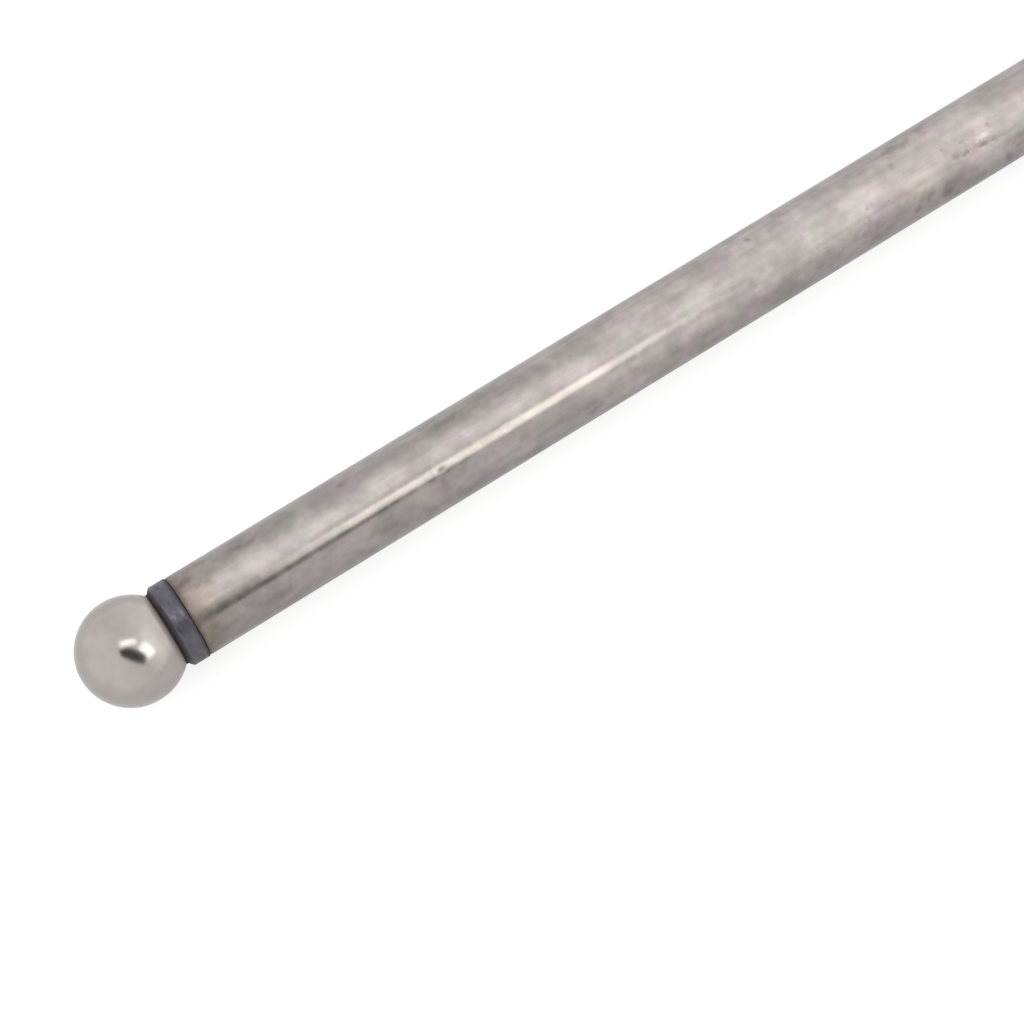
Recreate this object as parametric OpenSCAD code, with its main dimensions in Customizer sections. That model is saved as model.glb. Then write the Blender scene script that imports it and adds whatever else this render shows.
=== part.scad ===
// Tubular engine pushrod: a drawn steel tube with a ball end pressed into the
// tappet end and a cup end pressed into the rocker end.
// The rod lies along +X and the origin is the centre of the ball.

/* [Rod] */
// Overall length, from the tip of the ball to the rim of the cup
overall_l = 210; // [120:1:320]

/* [Tube] */
// Outside diameter of the tube
tube_d = 7.9; // [6.5:0.1:9]
// Wall of the tube
tube_wall = 1.5; // [1:0.1:2.2]
// Break on the outer edge at each end of the tube
tube_edge = 0.15; // [0.05:0.05:0.3]
// Lead-in on the inner edge at each end of the tube
tube_lead = 0.4; // [0.35:0.05:0.5]

/* [Collars] */
// Length of the collar that seats on each end of the tube
collar_l = 2.2; // [1.2:0.05:5]
// How far the collars stand proud of the tube
collar_proud = 0.05; // [0:0.01:0.3]
// Depth of the groove between the ball and its collar
groove_depth = 0.46; // [0.1:0.02:0.8]
// Length of the plain neck at the bottom of that groove
neck_l = 0.2; // [0.1:0.05:0.5]
// Length of the collar's chamfer behind that neck
chamfer_l = 0.4; // [0.2:0.05:0.6]
// Break on the collar's outer edge against the tube
collar_edge = 0.1; // [0.05:0.05:0.2]

/* [Shanks] */
// Length of the shank that is pressed into the tube
shank_l = 10; // [5:0.5:20]
// Chamfer on the nose of the shank
shank_nose = 0.6; // [0.2:0.1:1]
// Fillet where the shank meets the collar, inside the tube's lead-in
shank_fillet = 0.3; // [0.1:0.05:0.3]
// Gap drawn around the pressed shank
shank_gap = 0.01; // [0.005:0.005:0.03]

/* [Ball] */
// Diameter of the ball
ball_d = 10; // [8:0.1:14]

/* [Cup] */
// Outside diameter of the cup
cup_d = 10; // [9.5:0.1:14]
// Length of the taper from the collar out to the cup
flare_l = 2.2; // [1:0.1:4]
// Diameter of the socket that takes the rocker's ball
socket_d = 7.2; // [5:0.1:8]
// Straight wall of the socket above its hemisphere
socket_wall = 1.4; // [1:0.1:3]
// Lead-in chamfer at the mouth of the socket
mouth_chamfer = 0.4; // [0.1:0.05:0.5]
// Steel between the collar and the bottom of the socket
cup_floor = 1.6; // [1:0.1:4]
// Rounding on the outer edge of the cup's rim
rim_r = 0.4; // [0.1:0.05:0.4]

/* [Hidden] */
$fn = 128;

drawn_grey = [0.66, 0.63, 0.61];
ground_silver = [0.76, 0.72, 0.70];

tube_r = tube_d / 2;
collar_r = tube_r + collar_proud;
bore_r = tube_r - tube_wall;
shank_r = bore_r - shank_gap;
ball_r = ball_d / 2;
cup_r = cup_d / 2;
socket_r = socket_d / 2;

// The ball runs into its neck on this circle
seam_r = collar_r - groove_depth;
seam_x = sqrt(ball_r * ball_r - seam_r * seam_r);

// Places along the rod, from the ball's centre
chamfer_x = seam_x + neck_l;
tube_start = seam_x + collar_l;
rim_x = overall_l - ball_r;
mouth_x = rim_x - mouth_chamfer;
socket_x = mouth_x - socket_wall;
cup_x = socket_x - socket_r - cup_floor;
tube_end = cup_x - collar_l;

// How far each shank is rooted in its collar
shank_root = collar_l / 2;

// A profile in (radius, place along the rod), turned about the rod's axis
module turned() {
    rotate([0, 90, 0])
        rotate_extrude()
            children();
}

// Profile of a shank with its root on the radius axis, pointing to +Y
module shank_profile() {
    polygon([
        [0, -shank_root],
        [shank_r, -shank_root],
        [shank_r, shank_l - shank_nose],
        [shank_r - shank_nose, shank_l],
        [0, shank_l]
    ]);
    translate([shank_r, 0])
        root_fillet_profile();
}

// Concave corner between the shank and the collar's seat
module root_fillet_profile() {
    difference() {
        square(shank_fillet);
        translate([shank_fillet, shank_fillet])
            circle(shank_fillet);
    }
}

// Neck and collar of the ball end, with the neck carried on into the ball
module ball_collar_profile() {
    polygon([
        [0, 0],
        [seam_r, 0],
        [seam_r, chamfer_x],
        [collar_r, chamfer_x + chamfer_l],
        [collar_r, tube_start - collar_edge],
        [collar_r - collar_edge, tube_start],
        [0, tube_start]
    ]);
}

// Outside of the cup end: collar, taper, straight wall and rounded rim
module cup_outline() {
    difference() {
        polygon([
            [0, tube_end],
            [collar_r - collar_edge, tube_end],
            [collar_r, tube_end + collar_edge],
            [collar_r, cup_x],
            [cup_r, cup_x + flare_l],
            [cup_r, rim_x],
            [0, rim_x]
        ]);
        translate([cup_r - rim_r, rim_x - rim_r])
            difference() {
                square(rim_r);
                circle(rim_r);
            }
    }
}

// Hollow of the cup: hemisphere, straight wall and lead-in
module socket_profile() {
    translate([0, socket_x]) {
        circle(socket_r);
        square([socket_r, rim_x - socket_x]);
    }
    polygon([
        [0, mouth_x],
        [socket_r, mouth_x],
        [socket_r + mouth_chamfer, rim_x],
        [0, rim_x]
    ]);
}

module tube() {
    color(drawn_grey)
        turned()
            polygon([
                [bore_r + tube_lead, tube_start],
                [tube_r - tube_edge, tube_start],
                [tube_r, tube_start + tube_edge],
                [tube_r, tube_end - tube_edge],
                [tube_r - tube_edge, tube_end],
                [bore_r + tube_lead, tube_end],
                [bore_r, tube_end - tube_lead],
                [bore_r, tube_start + tube_lead]
            ]);
}

module ball_end() {
    color(ground_silver) {
        sphere(ball_r);
        turned()
            ball_collar_profile();
        translate([tube_start, 0, 0])
            turned()
                shank_profile();
    }
}

module cup_end() {
    color(ground_silver) {
        turned()
            difference() {
                cup_outline();
                socket_profile();
            }
        translate([tube_end, 0, 0])
            mirror([1, 0, 0])
                turned()
                    shank_profile();
    }
}

tube();
ball_end();
cup_end();
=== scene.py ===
import math

import bmesh
import bpy
from mathutils import Matrix, Vector, noise


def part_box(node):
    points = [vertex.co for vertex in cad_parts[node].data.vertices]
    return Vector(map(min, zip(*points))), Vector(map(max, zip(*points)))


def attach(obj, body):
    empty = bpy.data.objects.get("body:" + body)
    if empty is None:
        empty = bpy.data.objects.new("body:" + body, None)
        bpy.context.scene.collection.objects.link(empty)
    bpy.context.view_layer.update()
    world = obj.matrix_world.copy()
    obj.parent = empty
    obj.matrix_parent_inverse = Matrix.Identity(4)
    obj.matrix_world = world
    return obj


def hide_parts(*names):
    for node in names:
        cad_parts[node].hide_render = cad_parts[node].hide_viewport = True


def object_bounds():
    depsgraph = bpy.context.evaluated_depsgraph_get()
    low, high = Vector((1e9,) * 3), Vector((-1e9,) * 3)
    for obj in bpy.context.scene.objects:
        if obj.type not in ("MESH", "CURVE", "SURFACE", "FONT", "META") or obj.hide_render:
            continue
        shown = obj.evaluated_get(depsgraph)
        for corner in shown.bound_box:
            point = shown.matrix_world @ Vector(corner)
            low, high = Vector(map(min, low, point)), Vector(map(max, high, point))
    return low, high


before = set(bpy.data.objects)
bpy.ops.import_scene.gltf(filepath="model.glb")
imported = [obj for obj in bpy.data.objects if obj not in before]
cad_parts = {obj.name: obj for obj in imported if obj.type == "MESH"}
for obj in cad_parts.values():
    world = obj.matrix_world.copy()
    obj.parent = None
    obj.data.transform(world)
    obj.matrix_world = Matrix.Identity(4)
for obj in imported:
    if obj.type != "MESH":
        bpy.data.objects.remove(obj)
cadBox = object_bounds()
mm = 0.001
sharpTurn = 38      # degrees; a sharper turn in a profile stays a crisp edge
print("frame loaded:", [round(v / mm, 1) for v in cadBox[1] - cadBox[0]], "mm")


# shared helpers for turned shapes: a profile is a list of (along, radius) in mm

def arcPoints(centre, radius, startDeg, endDeg, steps):
    points = []
    for i in range(steps + 1):
        a = math.radians(startDeg + (endDeg - startDeg) * i / steps)
        points.append((centre[0] + radius * math.cos(a), centre[1] + radius * math.sin(a)))
    return points


def roundCorner(before, corner, after, radius, steps=5):
    # swaps a sharp corner of the profile for a small arc
    p = Vector(corner)
    u = (Vector(before) - p).normalized()
    v = (Vector(after) - p).normalized()
    half = math.acos(max(-1.0, min(1.0, u.dot(v)))) / 2
    back = radius / math.tan(half)
    centre = p + (u + v).normalized() * (radius / math.sin(half))
    a = (p + u * back) - centre
    b = (p + v * back) - centre
    turn = a.angle_signed(b)
    points = []
    for i in range(steps + 1):
        q = centre + Matrix.Rotation(-turn * i / steps, 2) @ a
        points.append((q.x, q.y))
    return points


def evenSteps(start, end, step):
    count = max(1, round(abs(end - start) / step))
    return [start + (end - start) * i / count for i in range(count + 1)]


def turnedMesh(name, profile, angles, closed=False, shift=None):
    # turns the profile about the rod's axis; points on the axis become single poles
    bm = bmesh.new()
    rings = []
    for along, radius in profile:
        if radius < 1e-6:
            rings.append([bm.verts.new((along * mm, 0, 0))])
            continue
        ring = []
        for a in angles:
            r = radius + (shift(along, a, radius) if shift else 0.0)
            ring.append(bm.verts.new((along * mm, r * math.sin(a) * mm, r * math.cos(a) * mm)))
        rings.append(ring)
    pairs = list(zip(rings, rings[1:]))
    if closed:
        pairs.append((rings[-1], rings[0]))
    n = len(angles)
    for left, right in pairs:
        for i in range(n):
            j = (i + 1) % n
            if len(left) == 1 and len(right) == 1:
                continue
            if len(left) == 1:
                bm.faces.new((left[0], right[j], right[i]))
            elif len(right) == 1:
                bm.faces.new((left[i], left[j], right[0]))
            else:
                bm.faces.new((left[i], left[j], right[j], right[i]))
    bmesh.ops.recalc_face_normals(bm, faces=bm.faces)
    mesh = bpy.data.meshes.new(name)
    bm.to_mesh(mesh)
    bm.free()
    mesh.shade_smooth()
    mesh.set_sharp_from_angle(angle=math.radians(sharpTurn))
    obj = bpy.data.objects.new(name, mesh)
    bpy.context.scene.collection.objects.link(obj)
    return obj


def evenAngles(count):
    return [2 * math.pi * i / count for i in range(count)]


# shared helpers for shader trees

def newGroup(name, inputs, outputs):
    tree = bpy.data.node_groups.new(name, "ShaderNodeTree")
    for label, kind, default in inputs:
        socket = tree.interface.new_socket(name=label, in_out="INPUT", socket_type=kind)
        socket.default_value = default
    for label, kind in outputs:
        tree.interface.new_socket(name=label, in_out="OUTPUT", socket_type=kind)
    return tree, tree.nodes.new("NodeGroupInput"), tree.nodes.new("NodeGroupOutput")


def plug(tree, value, socket):
    # a socket is linked, a plain value is written into the socket
    if isinstance(value, bpy.types.NodeSocket):
        tree.links.new(value, socket)
    else:
        socket.default_value = value


def calc(tree, operation, *values):
    node = tree.nodes.new("ShaderNodeMath")
    node.operation = operation
    for i, value in enumerate(values):
        plug(tree, value, node.inputs[i])
    return node.outputs[0]


def remap(tree, value, fromLow, fromHigh, toLow=0.0, toHigh=1.0, smooth=True):
    node = tree.nodes.new("ShaderNodeMapRange")
    node.interpolation_type = "SMOOTHSTEP" if smooth else "LINEAR"
    for i, v in enumerate((value, fromLow, fromHigh, toLow, toHigh)):
        plug(tree, v, node.inputs[i])
    return node.outputs[0]


def mixColor(tree, fac, a, b, blend="MIX"):
    node = tree.nodes.new("ShaderNodeMix")
    node.data_type = "RGBA"
    node.blend_type = blend
    plug(tree, fac, node.inputs[0])
    plug(tree, a, node.inputs[6])
    plug(tree, b, node.inputs[7])
    return node.outputs[2]


def mixValue(tree, fac, a, b):
    node = tree.nodes.new("ShaderNodeMix")
    plug(tree, fac, node.inputs[0])
    plug(tree, a, node.inputs[2])
    plug(tree, b, node.inputs[3])
    return node.outputs[0]


def rampColor(tree, fac, stops):
    node = tree.nodes.new("ShaderNodeValToRGB")
    ramp = node.color_ramp
    while len(ramp.elements) < len(stops):
        ramp.elements.new(0.5)
    for element, (place, color) in zip(ramp.elements, stops):
        element.position = place
        element.color = (*color, 1.0)
    plug(tree, fac, node.inputs[0])
    return node.outputs[0]


def useGroup(tree, group, **values):
    node = tree.nodes.new("ShaderNodeGroup")
    node.node_tree = group
    for label, value in values.items():
        plug(tree, value, node.inputs[label])
    return node


def noiseNode(tree, vector, scale, detail=3.0, rough=0.55):
    node = tree.nodes.new("ShaderNodeTexNoise")
    plug(tree, vector, node.inputs["Vector"])
    node.inputs["Scale"].default_value = scale
    node.inputs["Detail"].default_value = detail
    node.inputs["Roughness"].default_value = rough
    return node.outputs[0]


# rodPlace: where a point lies on the rod, in mm along it and degrees around it
rodPlace, groupIn, groupOut = newGroup(
    "rodPlace", [],
    [("Along", "NodeSocketFloat"), ("Around", "NodeSocketFloat"), ("Spread", "NodeSocketVector")])
coords = rodPlace.nodes.new("ShaderNodeTexCoord")
scaled = rodPlace.nodes.new("ShaderNodeVectorMath")
scaled.operation = "SCALE"
scaled.inputs["Scale"].default_value = 1 / mm
rodPlace.links.new(coords.outputs["Object"], scaled.inputs[0])
split = rodPlace.nodes.new("ShaderNodeSeparateXYZ")
rodPlace.links.new(scaled.outputs[0], split.inputs[0])
plug(rodPlace, split.outputs["X"], groupOut.inputs["Along"])
turn = calc(rodPlace, "ARCTAN2", split.outputs["Y"], split.outputs["Z"])
plug(rodPlace, calc(rodPlace, "DEGREES", turn), groupOut.inputs["Around"])
plug(rodPlace, scaled.outputs[0], groupOut.inputs["Spread"])

# cloudPatch: soft patches drawn out along the rod by Stretch
cloudPatch, groupIn, groupOut = newGroup(
    "cloudPatch",
    [("Size", "NodeSocketFloat", 3.0), ("Stretch", "NodeSocketFloat", 2.0),
     ("Offset", "NodeSocketFloat", 0.0)],
    [("Mask", "NodeSocketFloat")])
place = useGroup(cloudPatch, rodPlace)
squeeze = cloudPatch.nodes.new("ShaderNodeCombineXYZ")
drawnOut = calc(cloudPatch, "MULTIPLY", groupIn.outputs["Size"], groupIn.outputs["Stretch"])
plug(cloudPatch, calc(cloudPatch, "DIVIDE", 1.0, drawnOut), squeeze.inputs["X"])
acrossScale = calc(cloudPatch, "DIVIDE", 1.0, groupIn.outputs["Size"])
plug(cloudPatch, acrossScale, squeeze.inputs["Y"])
plug(cloudPatch, acrossScale, squeeze.inputs["Z"])
stretched = cloudPatch.nodes.new("ShaderNodeVectorMath")
stretched.operation = "MULTIPLY_ADD"
plug(cloudPatch, place.outputs["Spread"], stretched.inputs[0])
plug(cloudPatch, squeeze.outputs[0], stretched.inputs[1])
plug(cloudPatch, groupIn.outputs["Offset"], stretched.inputs[2])
cloud = noiseNode(cloudPatch, stretched.outputs[0], 1.0, detail=2.5, rough=0.5)
plug(cloudPatch, remap(cloudPatch, cloud, 0.27, 0.73), groupOut.inputs["Mask"])

# specks: small dark pits, thinned out so that few cells carry one
specks, groupIn, groupOut = newGroup(
    "specks",
    [("Cell", "NodeSocketFloat", 2.0), ("Share", "NodeSocketFloat", 0.3),
     ("Radius", "NodeSocketFloat", 0.12)],
    [("Mask", "NodeSocketFloat")])
place = useGroup(specks, rodPlace)
cells = specks.nodes.new("ShaderNodeTexVoronoi")
plug(specks, place.outputs["Spread"], cells.inputs["Vector"])
plug(specks, calc(specks, "DIVIDE", 1.0, groupIn.outputs["Cell"]), cells.inputs["Scale"])
distance = calc(specks, "MULTIPLY", cells.outputs["Distance"], groupIn.outputs["Cell"])
inner = calc(specks, "MULTIPLY", groupIn.outputs["Radius"], 0.4)
near = remap(specks, distance, inner, groupIn.outputs["Radius"], 1.0, 0.0)
pick = specks.nodes.new("ShaderNodeSeparateColor")
plug(specks, cells.outputs["Color"], pick.inputs[0])
chosen = calc(specks, "LESS_THAN", pick.outputs[0], groupIn.outputs["Share"])
plug(specks, calc(specks, "MULTIPLY", near, chosen), groupOut.inputs["Mask"])

# heatTint: straw and brown oxide that fades out away from a welded joint
heatTint, groupIn, groupOut = newGroup(
    "heatTint", [("Distance", "NodeSocketFloat", 0.0)], [("Color", "NodeSocketColor")])
ragged = useGroup(heatTint, cloudPatch, Size=1.1, Stretch=0.9, Offset=4.0)
uneven = calc(heatTint, "MULTIPLY", calc(heatTint, "SUBTRACT", ragged.outputs["Mask"], 0.4), 0.7)
shifted = calc(heatTint, "ADD", groupIn.outputs["Distance"], uneven)
tintReach = 4.5     # mm from the joint to clean steel
tintColor = rampColor(heatTint, calc(heatTint, "DIVIDE", shifted, tintReach), [
    (0.0, (0.42, 0.37, 0.34)),
    (0.08, (0.62, 0.57, 0.52)),
    (0.20, (0.76, 0.72, 0.66)),
    (0.45, (0.86, 0.84, 0.80)),
    (0.80, (0.95, 0.94, 0.92)),
    (1.0, (1.0, 1.0, 1.0))])
plug(heatTint, tintColor, groupOut.inputs["Color"])

# blued: the blue-grey oxide of a collar, streaked around the rod
blued, groupIn, groupOut = newGroup(
    "blued", [("Tone", "NodeSocketColor", (0.116, 0.112, 0.138, 1.0))],
    [("Color", "NodeSocketColor"), ("Rough", "NodeSocketFloat")])
bluePatch = useGroup(blued, cloudPatch, Size=0.9, Stretch=0.45, Offset=11.0)
pale = mixColor(blued, 1.0, groupIn.outputs["Tone"], (1.35, 1.32, 1.25, 1.0), "MULTIPLY")
blueColor = mixColor(blued, bluePatch.outputs["Mask"], groupIn.outputs["Tone"], pale)
plug(blued, blueColor, groupOut.inputs["Color"])
plug(blued, remap(blued, bluePatch.outputs["Mask"], 0.0, 1.0, 0.42, 0.30), groupOut.inputs["Rough"])

# turnLines: fine rings left by turning and grinding
turnLines, groupIn, groupOut = newGroup(
    "turnLines", [("Pitch", "NodeSocketFloat", 0.05)], [("Height", "NodeSocketFloat")])
place = useGroup(turnLines, rodPlace)
rings = turnLines.nodes.new("ShaderNodeTexNoise")
rings.noise_dimensions = "1D"
ringPlace = calc(turnLines, "DIVIDE", place.outputs["Along"], groupIn.outputs["Pitch"])
plug(turnLines, ringPlace, rings.inputs["W"])
rings.inputs["Scale"].default_value = 1.0
rings.inputs["Detail"].default_value = 2.0
plug(turnLines, rings.outputs[0], groupOut.inputs["Height"])
print("shader groups built")


def newMaterial(name):
    material = bpy.data.materials.new(name)
    material.use_nodes = True
    tree = material.node_tree
    return material, tree, tree.nodes["Principled BSDF"]


def bumpNode(tree, height, strength, depth):
    node = tree.nodes.new("ShaderNodeBump")
    node.inputs["Strength"].default_value = strength
    node.inputs["Distance"].default_value = depth * mm
    plug(tree, height, node.inputs["Height"])
    return node


# tube: drawn steel, knocked and stained in use
low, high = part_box("tube")
tubeStart, tubeEnd, tubeRadius = low.x / mm, high.x / mm, high.z / mm
tube = {
    "bore": 2.45,
    "lead": 0.4,
    "edge": 0.15,
    "neckDepth": 0.02,      # the weld pulls the tube in a little at its ends
    "neckLength": 1.3,
    "waveHeight": 0.001,    # drawn surface, never quite straight
    "waveLength": 3.5,
    "waveTurn": 2.2,
    "frayDents": 0.8,
    # mesh: rings after the near end, steps, and where the knocks need a finer one (from, to, step)
    "endRings": (0.2, 0.3, 0.45, 0.6, 0.8, 1.0, 1.3),
    "endStep": 0.2,
    "denseAround": (-76, 4, 1.6),
    "denseAlong": [(29.5, 34.5, 0.09), (37.8, 39.6, 0.09), (77.0, 79.4, 0.09), (86.4, 95.0, 0.09)],
    "coarseStep": 1.0,
    "coarseTurn": 4.5,
    # along, around in degrees, length, width, depth (below zero stands out)
    "dents": [
        (30.3, -25.5, 0.60, 0.45, 0.005),
        (31.4, -26.6, 1.00, 0.70, 0.016),
        (33.4, -24.2, 0.80, 0.36, 0.005),
        (38.6, -24.2, 0.95, 0.70, 0.011),
        (38.6, -24.2, 0.40, 0.34, -0.008),
        (78.3, -25.3, 0.90, 0.70, 0.026),
        (87.2, -15.9, 0.90, 0.70, 0.045),
        (88.3, -28.6, 1.00, 0.80, 0.065),
        (89.2, -32.4, 0.70, 0.56, 0.070),
        (89.6, -15.2, 1.00, 0.60, 0.065),
        (89.8, -19.0, 0.60, 0.52, -0.040),
        (91.4, -24.4, 1.60, 1.05, -0.085),
        (91.2, -34.3, 1.30, 0.60, 0.070),
        (92.3, -35.1, 0.55, 0.46, 0.040),
        (92.5, -13.4, 0.70, 0.60, 0.070),
        (94.3, -25.3, 0.80, 0.60, 0.030),
    ],
    # along, around, half length, half width, darkness; the marks on the knocks also paint shade into the
    # dents
    "stainsAndDentShade": [
        (23.1, 29.3, 0.50, 0.42, 0.60),
        (33.6, 19.3, 2.4, 0.50, 0.38),
        (40.1, 19.7, 1.6, 0.40, 0.34),
        (34.2, 27.5, 2.6, 1.30, 0.45),
        (37.4, 36.7, 2.8, 0.70, 0.35),
        (31.4, -26.5, 0.55, 0.42, 0.85),
        (36.0, -24.5, 3.6, 0.45, 0.22),
        (31.5, -47.0, 0.85, 1.20, 0.55),
        (33.5, -42.8, 1.3, 0.35, 0.35),
        (7.0, 28.2, 1.2, 1.4, 0.70),
        (7.1, 18.0, 0.9, 0.9, 0.50),
        (7.1, -43.0, 0.9, 1.0, 0.50),
        (8.8, 11.5, 1.8, 1.1, 0.38),
        (13.4, 30.0, 3.4, 1.2, 0.50),
        (12.9, -59.0, 3.8, 1.2, 0.48),
        (24.9, -59.4, 1.4, 0.6, 0.42),
        (46.9, -67.4, 3.0, 1.0, 0.48),
        (57.2, -69.9, 2.4, 1.0, 0.20),
        (61.0, -67.9, 3.4, 1.1, 0.20),
        (72.0, -58.0, 4.0, 1.8, 0.42),
        (77.0, -57.0, 3.5, 1.8, 0.48),
        (72.8, -43.2, 0.40, 0.32, 0.55),
        (77.9, -42.5, 0.42, 0.80, 0.50),
        (78.2, -25.3, 0.42, 0.34, 0.70),
        (46.9, 15.2, 0.38, 0.38, 0.55),
        (67.1, 26.4, 0.42, 0.46, 0.70),
        (82.4, 7.4, 0.50, 0.46, 0.90),
        (84.5, 31.5, 4.2, 1.2, 0.55),
        (84.9, -66.9, 4.5, 1.8, 0.60),
        (87.3, 37.4, 1.3, 1.0, 0.55),
        (88.3, -29.0, 0.62, 0.50, 0.75),
        (89.2, -32.4, 0.36, 0.32, 0.80),
        (89.5, -14.6, 0.50, 0.26, 0.70),
        (91.2, -34.0, 0.80, 0.34, 0.75),
        (92.3, -35.1, 0.30, 0.25, 0.65),
        (92.5, -13.4, 0.38, 0.32, 0.80),
        (93.6, -74.3, 0.70, 0.80, 0.90),
        (94.8, -59.0, 2.0, 1.6, 0.55),
    ],
    # high spots rubbed bright, and a painted highlight on the raised bumps, same order
    "rubbedAndGlint": [(91.4, -23.8, 0.95, 0.58, 0.9), (89.8, -19.0, 0.26, 0.24, 0.7)],
    # straw coloured patches, same order
    "straw": [(75.0, -38.9, 1.5, 0.7, 0.8), (82.8, -37.6, 2.6, 1.1, 0.6), (52.5, -47.0, 2.6, 0.8, 0.5),
              (8.4, -12.0, 1.0, 0.9, 0.6)],
    # patches of cooler and of rosier grey, same order
    "cool": [(16.1, -21.0, 3.0, 1.2, 0.8), (11.7, -23.0, 2.0, 1.0, 0.5), (17.2, 14.0, 2.6, 1.4, 0.7),
             (27.1, 30.0, 3.0, 1.2, 0.7), (42.2, -70.0, 2.5, 1.2, 0.6), (47.6, 34.0, 5.0, 1.0, 0.5),
             (72.5, 14.0, 4.0, 1.6, 1.0), (74.2, 36.0, 2.5, 1.2, 0.6), (88.9, 37.0, 2.0, 1.2, 0.5)],
    "rosy": [(8.2, -55.0, 1.6, 1.4, 0.6), (15.6, -60.0, 3.0, 1.6, 0.7), (20.9, -58.0, 3.5, 1.6, 0.7),
             (32.4, -55.0, 3.0, 1.4, 0.9), (66.1, -53.0, 3.0, 1.4, 0.6), (77.2, -56.0, 3.4, 1.4, 0.9),
             (86.6, 16.0, 2.0, 1.2, 0.8), (89.2, -48.0, 2.5, 1.4, 0.5)],
    "pinkish": (0.402, 0.349, 0.346),
    "greenish": (0.356, 0.335, 0.309),
    "stainAndShadeTone": (0.50, 0.465, 0.44),
    "strawTone": (0.95, 0.90, 0.76),
    "rubbedAndGlintTone": (1.5, 1.5, 1.5),
    "coolTone": (0.91, 1.0, 0.98),
    "rosyTone": (1.05, 0.97, 1.03),
    "endTone": (0.110, 0.094, 0.085),
    "broadShade": (0.86, 1.10),
    "fineShade": (0.94, 1.05),
    "lineShade": (0.975, 1.02),
    "pitDark": 0.35,
    "endDark": 0.6,
    "rough": (0.175, 0.215),
    "stainRough": 0.25,
    "oxideRough": 0.12,
}


def tubeShift(along, angle, radius):
    if radius < (tube["bore"] + tubeRadius) / 2:    # the bore stays true
        return 0.0
    turn = tube["waveTurn"]
    wave = Vector((along / tube["waveLength"], turn * math.sin(angle), turn * math.cos(angle)))
    out = tube["waveHeight"] * noise.noise(wave)
    fromEnd = min(along - tubeStart, tubeEnd - along)
    if fromEnd < tube["neckLength"]:
        t = fromEnd / tube["neckLength"]
        out -= tube["neckDepth"] * (1 - t) ** 2
    degrees = math.degrees(math.atan2(math.sin(angle), math.cos(angle)))
    for place, around, length, width, depth in tube["dents"]:
        dx = (along - place) / (length / 2)
        if abs(dx) > 3:
            continue
        dy = math.radians(degrees - around) * tubeRadius / (width / 2)
        wobble = noise.noise(Vector((along * 2.3, degrees * 0.16, place)))
        d = (dx * dx + dy * dy) * (1 + tube["frayDents"] * wobble)
        if d < 9:
            out -= depth * math.exp(-d)
    return out


# rings close together where the knocks are, further apart elsewhere
places = [tubeStart + v for v in tube["endRings"]]
cursor = places[-1]
farNeck = (tubeEnd - tube["neckLength"], tubeEnd - tube["endStep"], tube["endStep"])
for start, end, step in tube["denseAlong"] + [farNeck]:
    places += evenSteps(cursor, start, tube["coarseStep"])[1:]
    places += evenSteps(start, end, step)[1:]
    cursor = end
denseLow, denseHigh, denseTurn = tube["denseAround"]
tubeAngles = [math.radians(v) for v in evenSteps(denseLow, denseHigh, denseTurn)]
tubeAngles += [math.radians(v) for v in evenSteps(denseHigh, denseLow + 360, tube["coarseTurn"])[1:-1]]
edge, bore, lead = tube["edge"], tube["bore"], tube["lead"]
outer = arcPoints((tubeStart + edge, tubeRadius - edge), edge, 180, 90, 4)
outer += [(v, tubeRadius) for v in places]
outer += arcPoints((tubeEnd - edge, tubeRadius - edge), edge, 90, 0, 4)
innerWall = [(tubeEnd, bore + lead), (tubeEnd - lead, bore),
             (tubeStart + lead, bore), (tubeStart, bore + lead)]
tubeBody = turnedMesh("tubeBody", outer + innerWall, tubeAngles, closed=True, shift=tubeShift)
print("tube turned:", len(tubeBody.data.polygons), "faces")

# markSpot: one soft-edged oval mark at a given place on the tube
markSpot, groupIn, groupOut = newGroup(
    "markSpot",
    [("Along", "NodeSocketFloat", 0.0), ("Around", "NodeSocketFloat", 0.0),
     ("Length", "NodeSocketFloat", 1.0), ("Width", "NodeSocketFloat", 1.0),
     ("Dark", "NodeSocketFloat", 0.5), ("Fray", "NodeSocketFloat", 0.5)],
    [("Mask", "NodeSocketFloat")])
place = useGroup(markSpot, rodPlace)
moved = calc(markSpot, "SUBTRACT", place.outputs["Along"], groupIn.outputs["Along"])
dx = calc(markSpot, "DIVIDE", moved, groupIn.outputs["Length"])
turned = calc(markSpot, "SUBTRACT", place.outputs["Around"], groupIn.outputs["Around"])
arcLength = calc(markSpot, "MULTIPLY", turned, math.radians(1) * tubeRadius)
dy = calc(markSpot, "DIVIDE", arcLength, groupIn.outputs["Width"])
squares = calc(markSpot, "ADD", calc(markSpot, "MULTIPLY", dx, dx), calc(markSpot, "MULTIPLY", dy, dy))
reach = calc(markSpot, "SQRT", squares)
fray = groupIn.outputs["Fray"]
reach = calc(markSpot, "ADD", reach, calc(markSpot, "MULTIPLY", fray, 0.3))
inside = remap(markSpot, reach, 0.2, 1.2, 1.0, 0.0)
patchy = calc(markSpot, "MULTIPLY", inside, remap(markSpot, fray, 0.0, 0.8, 1.0, 0.45))
plug(markSpot, calc(markSpot, "MULTIPLY", patchy, groupIn.outputs["Dark"]), groupOut.inputs["Mask"])

tubeSteel, tree, shader = newMaterial("tubeSteel")
place = useGroup(tree, rodPlace)
cloudA = useGroup(tree, cloudPatch, Size=2.0, Stretch=1.25, Offset=0.0)
cloudB = useGroup(tree, cloudPatch, Size=0.9, Stretch=1.15, Offset=21.0)
cloudC = useGroup(tree, cloudPatch, Size=3.0, Stretch=1.3, Offset=33.0)
color = mixColor(tree, cloudA.outputs["Mask"], (*tube["pinkish"], 1), (*tube["greenish"], 1))
shade = calc(tree, "MULTIPLY", remap(tree, cloudC.outputs["Mask"], 0.0, 1.0, *tube["broadShade"]),
             remap(tree, cloudB.outputs["Mask"], 0.0, 1.0, *tube["fineShade"]))
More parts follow.
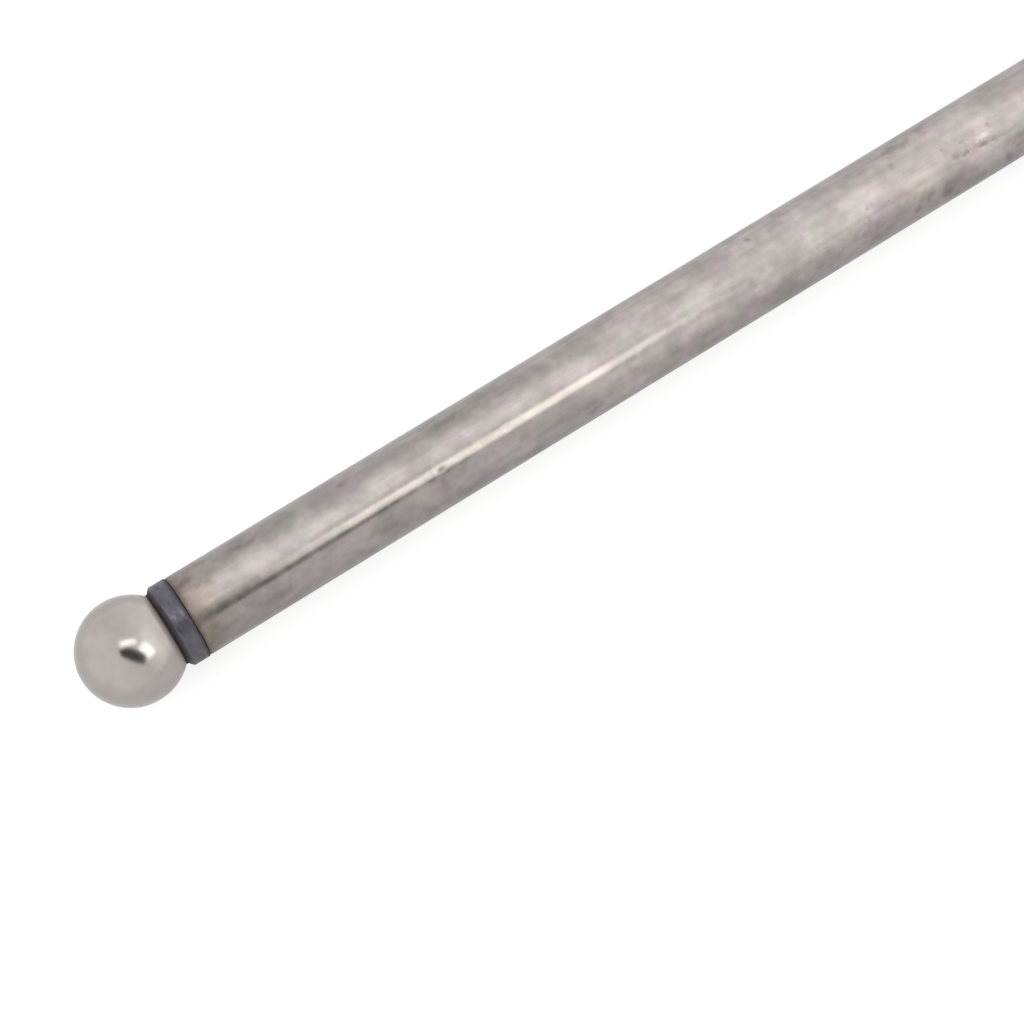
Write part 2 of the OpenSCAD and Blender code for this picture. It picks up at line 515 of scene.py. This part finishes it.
# draw lines: fine streaks along the rod
streakScale = tree.nodes.new("ShaderNodeVectorMath")
streakScale.operation = "MULTIPLY"
plug(tree, place.outputs["Spread"], streakScale.inputs[0])
streakScale.inputs[1].default_value = (0.05, 4.0, 4.0)
streak = noiseNode(tree, streakScale.outputs[0], 1.0, detail=3.0, rough=0.65)
shade = calc(tree, "MULTIPLY", shade, remap(tree, streak, 0.3, 0.7, *tube["lineShade"]))
shadeColor = tree.nodes.new("ShaderNodeCombineColor")
for channel in range(3):
    plug(tree, shade, shadeColor.inputs[channel])
color = mixColor(tree, 1.0, color, shadeColor.outputs[0], "MULTIPLY")
fray = useGroup(tree, cloudPatch, Size=0.8, Stretch=1.5, Offset=7.0).outputs["Mask"]


def anyMark(marks):
    mask = 0.0
    for along, around, length, width, dark in marks:
        spot = useGroup(tree, markSpot, Along=along, Around=around, Length=length, Width=width,
                        Dark=dark, Fray=fray)
        mask = calc(tree, "MAXIMUM", mask, spot.outputs["Mask"])
    return mask


# straw, cooler and rosier tones, and the painted highlight on the raised bumps
for marks in ("straw", "cool", "rosy", "rubbedAndGlint"):
    toned = mixColor(tree, 1.0, color, (*tube[marks + "Tone"], 1), "MULTIPLY")
    color = mixColor(tree, anyMark(tube[marks]), color, toned)
# stains, with painted shade in the dents where they sit on the knocks
stainAndShade = anyMark(tube["stainsAndDentShade"])
pits = useGroup(tree, specks, Cell=3.2, Share=0.35, Radius=0.16)
stainAndShade = calc(tree, "MAXIMUM", stainAndShade, calc(tree, "MULTIPLY", pits.outputs["Mask"], tube["pitDark"]))
stained = mixColor(tree, 1.0, color, (*tube["stainAndShadeTone"], 1), "MULTIPLY")
color = mixColor(tree, stainAndShade, color, stained)
fromEnds = calc(tree, "MINIMUM", calc(tree, "SUBTRACT", place.outputs["Along"], tubeStart),
                calc(tree, "SUBTRACT", tubeEnd, place.outputs["Along"]))
tint = useGroup(tree, heatTint, Distance=fromEnds)
color = mixColor(tree, 1.0, color, tint.outputs["Color"], "MULTIPLY")
# painted shade over the tube's rounded ends where they meet the collars
endShade = remap(tree, fromEnds, 0.06, 0.5, tube["endDark"], 0.0)
color = mixColor(tree, endShade, color, (*tube["endTone"], 1))
plug(tree, color, shader.inputs["Base Color"])
shader.inputs["Metallic"].default_value = 1.0
rough = remap(tree, cloudB.outputs["Mask"], 0.0, 1.0, *tube["rough"])
rough = calc(tree, "ADD", rough, calc(tree, "MULTIPLY", stainAndShade, tube["stainRough"]))
# oxide beside the welds is duller than the drawn steel
rough = calc(tree, "ADD", rough, remap(tree, fromEnds, 0.2, 2.4, tube["oxideRough"], 0.0))
plug(tree, rough, shader.inputs["Roughness"])
height = calc(tree, "SUBTRACT", streak, calc(tree, "MULTIPLY", pits.outputs["Mask"], 0.6))
plug(tree, bumpNode(tree, height, strength=0.012, depth=0.02).outputs[0], shader.inputs["Normal"])
tubeBody.data.materials.append(tubeSteel)


# ball end: ground ball, blued collar, shank inside the tube
low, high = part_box("ball_end")
ballEnd = {
    "ballRadius": -low.x / mm,
    "collarProud": 0.05,
    "grooveDepth": 0.46,
    "neck": 0.2,
    "chamfer": 0.4,
    "grooveRound": 0.05,
    "chamferRound": 0.2,
    "edge": 0.1,
    "fillet": 0.3,
    "shankRadius": 2.44,
    "shankEnd": high.x / mm,
    "nose": 0.6,
    "tone": (0.482, 0.444, 0.415),
    "shade": (0.440, 0.398, 0.378),
    # groove and chamfer tones: dark oxide, also used as painted shade
    "grooveTone": (0.052, 0.040, 0.037),
    "chamferTone": (0.075, 0.058, 0.055),
    "rough": (0.15, 0.21),
    "unpolished": 0.35,
    "dirtRough": 0.4,
    "jointShadeDark": 0.62,       # painted shade at the joint with the tube
    "chamferDark": (0.65, 0.92),
    "litSide": -22.0,     # degrees around the rod; the lit side, where the chamfer's painted shade is lightest
    "litReach": (30.0, 75.0),
}
ballRadius = ballEnd["ballRadius"]
collarRadius = tubeRadius + ballEnd["collarProud"]
seamRadius = collarRadius - ballEnd["grooveDepth"]
seamAlong = math.sqrt(ballRadius ** 2 - seamRadius ** 2)
seamDeg = math.degrees(math.atan2(seamRadius, seamAlong))
profile = arcPoints((0, 0), ballRadius, 180, seamDeg + 1.5, 72)
profile[0] = (-ballRadius, 0.0)
profile += arcPoints((0, 0), ballRadius, seamDeg + 1.0, seamDeg + 0.4, 2)
neckEnd = (seamAlong + ballEnd["neck"], seamRadius)
chamferTop = (neckEnd[0] + ballEnd["chamfer"], collarRadius)
profile += roundCorner(profile[-1], (seamAlong, seamRadius), neckEnd, ballEnd["grooveRound"])
profile += roundCorner((seamAlong, seamRadius), neckEnd, chamferTop, ballEnd["grooveRound"])
profile += roundCorner(neckEnd, chamferTop, (tubeStart, collarRadius), ballEnd["chamferRound"])
profile += [(v, collarRadius) for v in evenSteps(chamferTop[0] + 0.2, tubeStart - 0.25, 0.2)]
collarEdge, fillet = ballEnd["edge"], ballEnd["fillet"]
shankRadius, shankEnd, nose = ballEnd["shankRadius"], ballEnd["shankEnd"], ballEnd["nose"]
profile += arcPoints((tubeStart - collarEdge, collarRadius - collarEdge), collarEdge, 90, 0, 4)
profile += arcPoints((tubeStart + fillet, shankRadius + fillet), fillet, 180, 270, 4)
profile += [(shankEnd - nose, shankRadius), (shankEnd, shankRadius - nose), (shankEnd, 0.0)]
ballBody = turnedMesh("ballEndBody", profile, evenAngles(144))
print("ball end turned:", len(ballBody.data.polygons), "faces")

ballSteel, tree, shader = newMaterial("ballSteel")
place = useGroup(tree, rodPlace)
haze = useGroup(tree, cloudPatch, Size=1.8, Stretch=1.0, Offset=3.0)
ballColor = mixColor(tree, haze.outputs["Mask"], (*ballEnd["tone"], 1), (*ballEnd["shade"], 1))
blue = useGroup(tree, blued)
onCollar = remap(tree, place.outputs["Along"], seamAlong - 0.02, seamAlong + 0.02)
# painted shade: the chamfer is painted lighter towards the lit side and darker away from it
fromLit = calc(tree, "ABSOLUTE", calc(tree, "SUBTRACT", place.outputs["Around"], ballEnd["litSide"]))
chamferSideShade = remap(tree, fromLit, *ballEnd["litReach"], *ballEnd["chamferDark"])
# the groove and chamfer carry a dark oxide tone, deepened with painted shade in the crevice
pastNeck = remap(tree, place.outputs["Along"], neckEnd[0] - 0.04, neckEnd[0] + 0.08)
deep = remap(tree, pastNeck, 0.0, 1.0, 1.0, chamferSideShade, smooth=False)
fades = remap(tree, place.outputs["Along"], neckEnd[0], chamferTop[0] + 0.15, 1.0, 0.0)
grooveOxideAndShade = calc(tree, "MULTIPLY", onCollar, calc(tree, "MULTIPLY", deep, fades))
# the collar's end against the tube: a dark joint line deepened with painted shade
jointShade = remap(tree, place.outputs["Along"], tubeStart - 0.38, tubeStart - 0.10)
dirtAndShade = calc(tree, "MAXIMUM", grooveOxideAndShade, calc(tree, "MULTIPLY", jointShade, ballEnd["jointShadeDark"]))
color = mixColor(tree, onCollar, ballColor, blue.outputs["Color"])
dirtAndShadeTone = mixColor(tree, pastNeck, (*ballEnd["grooveTone"], 1), (*ballEnd["chamferTone"], 1))
color = mixColor(tree, dirtAndShade, color, dirtAndShadeTone)
plug(tree, color, shader.inputs["Base Color"])
ballRough = remap(tree, haze.outputs["Mask"], 0.0, 1.0, *ballEnd["rough"])
# the polish stops short of the groove
unpolished = remap(tree, place.outputs["Along"], seamAlong - 0.75, seamAlong - 0.15,
                   0.0, ballEnd["unpolished"])
ballRough = calc(tree, "ADD", ballRough, unpolished)
rough = mixValue(tree, onCollar, ballRough, blue.outputs["Rough"])
rough = calc(tree, "ADD", rough, calc(tree, "MULTIPLY", dirtAndShade, ballEnd["dirtRough"]))
plug(tree, rough, shader.inputs["Roughness"])
shader.inputs["Metallic"].default_value = 1.0
lines = useGroup(tree, turnLines, Pitch=0.06)
plug(tree, bumpNode(tree, lines.outputs[0], strength=0.12, depth=0.004).outputs[0], shader.inputs["Normal"])
ballBody.data.materials.append(ballSteel)


# cup end: cut off in the photograph, so plain: collar, taper, cup and socket
low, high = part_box("cup_end")
cupEnd = {
    "rim": high.x / mm,
    "radius": high.z / mm,
    "shankEnd": low.x / mm,
    "collar": 2.2,
    "taper": 2.2,
    "socketRadius": 3.6,
    "socketWall": 1.4,
    "mouth": 0.4,
    "rimRound": 0.4,
    "taperFoot": 1.2,       # radius where the collar turns into the taper
    "taperTop": 0.8,
    "mouthRound": 0.08,
    "wallRound": 0.12,
    "tone": (0.47, 0.43, 0.405),
    "shade": (0.40, 0.365, 0.345),
    "rough": (0.20, 0.28),
    "jointShadeDark": 0.8,        # painted shade at the joint with the tube
}
cupStart = tubeEnd + cupEnd["collar"]
rim, cupRadius, rimRound = cupEnd["rim"], cupEnd["radius"], cupEnd["rimRound"]
socketRadius = cupEnd["socketRadius"]
mouthStart = rim - cupEnd["mouth"]
socketCentre = mouthStart - cupEnd["socketWall"]
shankEnd = cupEnd["shankEnd"]
# shank, fillet and collar edge have the ball end's sizes
profile = [(shankEnd, 0.0), (shankEnd, shankRadius - nose), (shankEnd + nose, shankRadius)]
profile += arcPoints((tubeEnd - fillet, shankRadius + fillet), fillet, 270, 360, 4)
profile += arcPoints((tubeEnd + collarEdge, collarRadius - collarEdge), collarEdge, 180, 90, 4)
profile += [(v, collarRadius) for v in evenSteps(tubeEnd + 0.25, cupStart - 0.4, 0.2)]
taperEnd = (cupStart + cupEnd["taper"], cupRadius)
taperStart = (cupStart, collarRadius)
profile += roundCorner((tubeEnd, collarRadius), taperStart, taperEnd, cupEnd["taperFoot"], 8)
profile += roundCorner(taperStart, taperEnd, (rim, cupRadius), cupEnd["taperTop"], 8)
profile += [(v, cupRadius) for v in evenSteps(taperEnd[0] + 0.4, rim - rimRound - 0.1, 0.4)]
profile += arcPoints((rim - rimRound, cupRadius - rimRound), rimRound, 90, 0, 8)
mouthEdge = (rim, socketRadius + cupEnd["mouth"])
wallTop = (mouthStart, socketRadius)
profile += roundCorner((rim, cupRadius), mouthEdge, wallTop, cupEnd["mouthRound"], 4)
profile += roundCorner(mouthEdge, wallTop, (socketCentre, socketRadius), cupEnd["wallRound"], 4)
profile += [(v, socketRadius) for v in evenSteps(mouthStart - 0.3, socketCentre + 0.2, 0.3)]
profile += arcPoints((socketCentre, 0), socketRadius, 90, 180, 32)
profile[-1] = (socketCentre - socketRadius, 0.0)
cupBody = turnedMesh("cupEndBody", profile, evenAngles(144))
print("cup end turned:", len(cupBody.data.polygons), "faces")

cupSteel, tree, shader = newMaterial("cupSteel")
place = useGroup(tree, rodPlace)
haze = useGroup(tree, cloudPatch, Size=1.8, Stretch=1.0, Offset=9.0)
fromCollar = calc(tree, "SUBTRACT", place.outputs["Along"], cupStart - 0.6)
tint = useGroup(tree, heatTint, Distance=fromCollar)
cupColor = mixColor(tree, haze.outputs["Mask"], (*cupEnd["tone"], 1), (*cupEnd["shade"], 1))
cupColor = mixColor(tree, 1.0, cupColor, tint.outputs["Color"], "MULTIPLY")
blue = useGroup(tree, blued)
onCollar = remap(tree, place.outputs["Along"], cupStart - 0.35, cupStart - 0.10, 1.0, 0.0)
# the cup collar's end against the tube: a dark joint line deepened with painted shade
jointShade = remap(tree, place.outputs["Along"], tubeEnd + 0.06, tubeEnd + 0.16, cupEnd["jointShadeDark"], 0.0)
color = mixColor(tree, onCollar, cupColor, blue.outputs["Color"])
color = mixColor(tree, jointShade, color, (*ballEnd["grooveTone"], 1))
plug(tree, color, shader.inputs["Base Color"])
cupRough = remap(tree, haze.outputs["Mask"], 0.0, 1.0, *cupEnd["rough"])
rough = mixValue(tree, onCollar, cupRough, blue.outputs["Rough"])
rough = calc(tree, "ADD", rough, calc(tree, "MULTIPLY", jointShade, ballEnd["dirtRough"]))
plug(tree, rough, shader.inputs["Roughness"])
shader.inputs["Metallic"].default_value = 1.0
lines = useGroup(tree, turnLines, Pitch=0.09)
plug(tree, bumpNode(tree, lines.outputs[0], strength=0.25, depth=0.006).outputs[0], shader.inputs["Normal"])
cupBody.data.materials.append(cupSteel)

for piece, node, slot in ((tubeBody, "tube", "drawn_steel"), (ballBody, "ball_end", "ball_steel"),
                          (cupBody, "cup_end", "cup_steel")):
    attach(piece, "root")
    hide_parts(node)
print("pieces ride on the rod")


# stage: white floor, even soft light, camera above and in front of the ball
stageValues = {
    "floorSize": 3.0,       # metres
    "floorTone": 0.75,
    "cameraGlow": 0.68,
    "mirrorGlow": 0.36,
    # painted light and painted shadow on the floor, seen only in the steel: patches that it mirrors
    # brighter or darker, the darker one the rod's shadow in front of it; each comes and goes between two
    # places, in mm
    "mirrorPatches": [
        {"level": 0.26, "comesX": (0, 65), "comesY": (0, 60)},
        {"level": 0.14, "goesX": (-50, -5)},
        {"level": -0.08, "comesX": (8, 16), "comesY": (-22, -8), "goesY": (-3, 3)},
        {"level": 0.16, "comesX": (36, 46), "goesX": (64, 74), "comesY": (-32, -18), "goesY": (-12, -6)},
        {"level": 0.12, "comesX": (40, 120), "goesY": (-30, -5)},
    ],
    "nearLevel": 0.93,
    "farLevel": 0.97,
    "rightLevel": 0.20,
    "leftLevel": 0.08,
}
floorZ = cadBox[0].z
half = stageValues["floorSize"] / 2
floorMesh = bpy.data.meshes.new("floor")
floorCorners = [(-half, -half, floorZ), (half, -half, floorZ), (half, half, floorZ), (-half, half, floorZ)]
floorMesh.from_pydata(floorCorners, [], [(0, 1, 2, 3)])
floor = bpy.data.objects.new("floor", floorMesh)
bpy.context.scene.collection.objects.link(floor)
floorWhite, tree, shader = newMaterial("floorWhite")
path = tree.nodes.new("ShaderNodeLightPath")
mirrored = calc(tree, "MAXIMUM", path.outputs["Is Glossy Ray"], path.outputs["Is Transmission Ray"])
seen = calc(tree, "MAXIMUM", path.outputs["Is Camera Ray"], mirrored)
tone = stageValues["floorTone"]
plug(tree, mixColor(tree, seen, (tone, tone, tone, 1), (0.5, 0.5, 0.5, 1)), shader.inputs["Base Color"])
shader.inputs["Roughness"].default_value = 0.9
shader.inputs["Specular IOR Level"].default_value = 0.0
shader.inputs["Emission Color"].default_value = (1, 1, 1, 1)
coords = tree.nodes.new("ShaderNodeTexCoord")
split = tree.nodes.new("ShaderNodeSeparateXYZ")
plug(tree, coords.outputs["Object"], split.inputs[0])
mirrorLevel = stageValues["mirrorGlow"]
for patch in stageValues["mirrorPatches"]:
    mask = 1.0
    for axis in ("X", "Y"):
        for change, ends in (("comes", (0.0, 1.0)), ("goes", (1.0, 0.0))):
            if change + axis in patch:
                stretch = [v * mm for v in patch[change + axis]]
                mask = calc(tree, "MULTIPLY", mask, remap(tree, split.outputs[axis], *stretch, *ends))
    mirrorLevel = calc(tree, "MULTIPLY_ADD", mask, patch["level"], mirrorLevel)
glow = calc(tree, "MULTIPLY", path.outputs["Is Camera Ray"], stageValues["cameraGlow"])
glow = calc(tree, "MULTIPLY_ADD", mirrored, mirrorLevel, glow)
plug(tree, glow, shader.inputs["Emission Strength"])
floorMesh.materials.append(floorWhite)

world = bpy.data.worlds.new("softTent")
world.use_nodes = True
bpy.context.scene.world = world
tree = world.node_tree
background = tree.nodes["Background"]
background.inputs["Color"].default_value = (1.0, 1.0, 1.0, 1)
sky = tree.nodes.new("ShaderNodeTexCoord")
skySplit = tree.nodes.new("ShaderNodeSeparateXYZ")
plug(tree, sky.outputs["Generated"], skySplit.inputs[0])
level = remap(tree, skySplit.outputs["Y"], -0.9, 0.5, stageValues["nearLevel"], stageValues["farLevel"])
skyRight = remap(tree, skySplit.outputs["X"], 0.1, 0.8, 0.0, stageValues["rightLevel"])
skyLeft = remap(tree, skySplit.outputs["X"], -0.8, -0.1, stageValues["leftLevel"], 0.0)
level = calc(tree, "ADD", calc(tree, "ADD", level, skyRight), skyLeft)
path = tree.nodes.new("ShaderNodeLightPath")
level = calc(tree, "MAXIMUM", level, path.outputs["Is Camera Ray"])
plug(tree, level, background.inputs["Strength"])


def facing(location, target, roll=0.0):
    # places in mm and roll in degrees; -Z points at the target, with X kept level before the roll
    z = (Vector(location) - Vector(target)).normalized()
    x = Vector((0, 0, 1)).cross(z)
    x = x.normalized() if x.length > 1e-4 else Vector((1, 0, 0))
    y = z.cross(x)
    basis = Matrix((x, y, z)).transposed().to_4x4()
    return Matrix.Translation(Vector(location) * mm) @ basis @ Matrix.Rotation(math.radians(roll), 4, "Z")


def onlyOn(name, pieces):
    group = bpy.data.collections.new(name)
    for piece in pieces:
        group.objects.link(piece)
    return group


def addLamp(name, receivers, location, target, size, level, roll=0.0, soft=(0, 0, 0, 0), taper=(1, 1),
            color=(1, 1, 1)):
    # soft: the shares of the panel that fade out at its left, right, lower and upper edge
    # taper: the panel's height at its left and its right edge, as shares of its full height
    lamp = bpy.data.lights.new(name, "AREA")
    lamp.shape = "RECTANGLE"
    lamp.size, lamp.size_y = size[0] * mm, size[1] * mm
    lamp.energy = level * math.pi * lamp.size * lamp.size_y
    lamp.color = color
    lamp.use_nodes = True
    tree = lamp.node_tree
    geometry = tree.nodes.new("ShaderNodeNewGeometry")
    split = tree.nodes.new("ShaderNodeSeparateXYZ")
    plug(tree, geometry.outputs["Parametric"], split.inputs[0])
    u, v = split.outputs["X"], split.outputs["Y"]
    if min(taper) < 1.0:
        narrowFrom = 0.75   # the right end narrows over the last quarter
        height = calc(tree, "MULTIPLY", remap(tree, u, 0.0, 1.0, taper[0], 1.0, smooth=False),
                      remap(tree, u, narrowFrom, 1.0, 1.0, taper[1]))
        v = calc(tree, "ADD", calc(tree, "DIVIDE", calc(tree, "SUBTRACT", v, 0.5), height), 0.5)
    strength = 1.0
    edges = ((u, 0.0, 1), (u, 1.0, -1), (v, 0.0, 1), (v, 1.0, -1))
    for (place, edge, inward), share in zip(edges, soft):
        if share > 0:
            strength = calc(tree, "MULTIPLY", strength, remap(tree, place, edge, edge + inward * share))
    plug(tree, strength, tree.nodes["Emission"].inputs["Strength"])
    obj = bpy.data.objects.new(name, lamp)
    obj.matrix_world = facing(location, target, roll)
    obj.visible_camera = False
    obj.light_linking.receiver_collection = receivers
    bpy.context.scene.collection.objects.link(obj)


# panels around the rod; the polished ball has three of its own
onBall = onlyOn("onBall", [ballBody])
onRod = onlyOn("onRod", [tubeBody, cupBody])
addLamp("ballTop", onBall, location=(3.6, -1.1, 218.9), target=(0, 0, 0), size=(160, 60),
        level=1.7, roll=-93.2, soft=(0.2, 0.2, 0.25, 0.35))
addLamp("ballSide", onBall, location=(100.9, -105.5, 163), target=(0, 0, 0), size=(168, 110),
        level=1.5, roll=-112.3, soft=(0.3, 0.3, 0.15, 0.4))
addLamp("ballGlow", onBall, location=(154.8, -53.3, 144.8), target=(0, 0, 0), size=(346, 200),
        level=0.25, roll=-149.7, soft=(0.4, 0.4, 0.4, 0.4))
addLamp("overNarrow", onRod, location=(150, 48, 215), target=(150, 48, 0), size=(330, 266),
        level=0.36, soft=(0, 0, 0.30, 0.56))
addLamp("overWide", onRod, location=(150, 193, 216), target=(150, 193, 0), size=(330, 530),
        level=0.28, soft=(0, 0, 0.12, 0.80))
addLamp("ridgeFill", onRod, location=(190, -52, 212), target=(190, 0, 0), size=(230, 80),
        level=0.35, soft=(0.14, 0, 0.3, 0.3))
addLamp("sideStrip", onRod, location=(71, -114.5, 185.5), target=(71, 0, 0), size=(99, 140),
        level=2.0, roll=-13, soft=(0.37, 0.12, 0.3, 0.3), taper=(0.5, 0.35), color=(0.99, 1.0, 0.93))
addLamp("cardFill", onRod, location=(0, -108, 208), target=(0, 0, 0), size=(230, 110),
        level=0.195, roll=-51)
addLamp("collarFill", onRod, location=(21, -74, 205), target=(10, 0, 0), size=(60, 112),
        level=0.74, soft=(0.35, 0.5, 0.3, 0.3))
addLamp("sidePanel", onRod, location=(190, -104, 172), target=(190, 0, 0), size=(140, 152),
        level=0.72, soft=(0.2, 0, 0.3, 0.32))
addLamp("lowPanel", onRod, location=(205, -190, 112), target=(205, 0, 0), size=(250, 130),
        level=0.26, soft=(0.2, 0, 0.3, 0.2))
addLamp("lowerPanel", onRod, location=(205, -205, 70), target=(205, 0, 0), size=(250, 150),
        level=0.15, soft=(0.2, 0, 0.3, 0.2))
addLamp("backPanel", onRod, location=(220, 190, 110), target=(220, 0, 0), size=(240, 230),
        level=0.2, soft=(0.3, 0, 0.3, 0.3))

# a dark camera body beside the lens, seen only in the polished steel
cardValues = {
    "corners": [(-153, -12), (-100, -58), (120, -60), (120, 20), (106, 42), (-80, 42)],
    "place": (0, -114, 220),
    "roll": -51,
}
cardMesh = bpy.data.meshes.new("cameraCard")
cardCorners = [(x * mm, y * mm, 0) for x, y in cardValues["corners"]]
cardMesh.from_pydata(cardCorners, [], [range(len(cardCorners))])
card = bpy.data.objects.new("cameraCard", cardMesh)
card.matrix_world = facing(cardValues["place"], (0, 0, 0), cardValues["roll"])
bpy.context.scene.collection.objects.link(card)
card.visible_camera = False
card.visible_diffuse = False
cardBlack, tree, shader = newMaterial("cardBlack")
shader.inputs["Base Color"].default_value = (0.02, 0.02, 0.02, 1)
shader.inputs["Roughness"].default_value = 0.9
shader.inputs["Specular IOR Level"].default_value = 0.0
cardMesh.materials.append(cardBlack)

cameraValues = {
    "lens": 89.65,
    "sensor": 36.0,
    "place": (-7.6, -72.6, 215.1),
    "lookAt": (35.155, -7.518, 0),
}
cameraData = bpy.data.cameras.new("camera")
cameraData.lens = cameraValues["lens"]
cameraData.sensor_width = cameraValues["sensor"]
cameraData.clip_start = 0.005
camera = bpy.data.objects.new("camera", cameraData)
camera.matrix_world = facing(cameraValues["place"], cameraValues["lookAt"])
bpy.context.scene.collection.objects.link(camera)
bpy.context.scene.camera = camera
bpy.context.scene.view_settings.view_transform = "Standard"
print("stage set")

print("scene ready")
